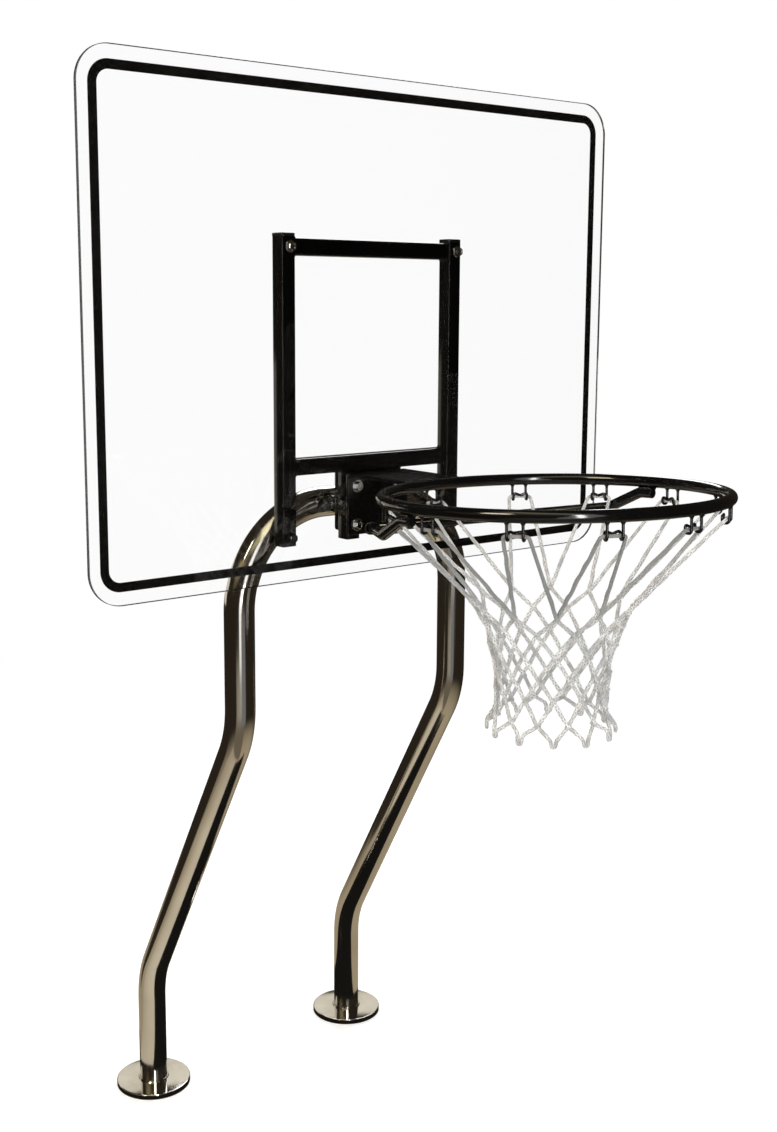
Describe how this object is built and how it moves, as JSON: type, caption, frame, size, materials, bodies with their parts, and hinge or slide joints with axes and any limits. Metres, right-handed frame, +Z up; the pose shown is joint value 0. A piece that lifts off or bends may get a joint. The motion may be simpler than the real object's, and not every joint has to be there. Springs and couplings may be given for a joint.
{
  "type": "poolside basketball hoop",
  "caption": "Deck-standing basketball hoop on two bent polished steel tubes, with a clear backboard, a braced black rim, wire net hooks and a knotted net.",
  "frame": {"origin": "midway between the two legs' centre lines at deck level", "axes": "+Z up; -Y out of the board's front face towards the pool; +X to the right in a front view of the board, seen from the pool side"},
  "size_m": [1.016, 1.0622, 1.7315],
  "materials": {
    "polished_stainless": "polished",
    "black_gloss": "gloss powder coat",
    "zinc_plate": "bright zinc",
    "clear_acrylic": "clear polished sheet",
    "black_line": "screen-printed line",
    "black_plastic": "satin",
    "net_cord": "braided nylon"
  },
  "bodies": {
    "stand": {"left_leg": "polished_stainless", "right_leg": "polished_stainless", "splice_sleeve": "polished_stainless", "left_upright": "black_gloss", "right_upright": "black_gloss", "left_stub": "black_gloss", "right_stub": "black_gloss", "upper_crossbar": "black_gloss", "lower_crossbar": "black_gloss", "backing_plate": "black_gloss", "rim_plate": "black_gloss", "rim_top_plate": "black_gloss", "left_brace": "black_gloss", "right_brace": "black_gloss", "rim_ring": "black_gloss", "net_hook_01": "black_gloss", "net_hook_02": "black_gloss", "net_hook_03": "black_gloss", "net_hook_04": "black_gloss", "net_hook_05": "black_gloss", "net_hook_06": "black_gloss", "net_hook_07": "black_gloss", "net_hook_08": "black_gloss", "net_hook_09": "black_gloss", "net_hook_10": "black_gloss", "net_hook_11": "black_gloss", "net_hook_12": "black_gloss", "left_upright_cap": "black_plastic", "right_upright_cap": "black_plastic", "backboard": "clear_acrylic", "border_line": "black_line", "board_bolt_upper_left": "zinc_plate", "board_bolt_upper_right": "zinc_plate", "board_bolt_lower_left": "black_gloss", "board_bolt_lower_right": "black_gloss", "board_washer_upper_left": "zinc_plate", "board_washer_upper_right": "zinc_plate", "board_washer_lower_left": "black_gloss", "board_washer_lower_right": "black_gloss", "board_nut_upper_left": "zinc_plate", "board_nut_upper_right": "zinc_plate", "board_nut_lower_left": "black_gloss", "board_nut_lower_right": "black_gloss", "rim_bolt_upper_left": "zinc_plate", "rim_bolt_upper_right": "zinc_plate", "rim_bolt_lower_left": "zinc_plate", "rim_bolt_lower_right": "zinc_plate", "rim_washer_upper_left": "zinc_plate", "rim_washer_upper_right": "zinc_plate", "rim_washer_lower_left": "zinc_plate", "rim_washer_lower_right": "zinc_plate", "rim_nut_upper_left": "zinc_plate", "rim_nut_upper_right": "zinc_plate", "rim_nut_lower_left": "zinc_plate", "rim_nut_lower_right": "zinc_plate", "net": "net_cord"},
    "left_flange": {"left_escutcheon": "polished_stainless"},
    "right_flange": {"right_escutcheon": "polished_stainless"}
  },
  "joints": [
    {"name": "left_flange_slide", "type": "slide", "parent": "stand", "child": "left_flange", "axis": [0, 0, 1], "range_m": [0, 0.13]},
    {"name": "right_flange_slide", "type": "slide", "parent": "stand", "child": "right_flange", "axis": [0, 0, 1], "range_m": [0, 0.13]}
  ]
}
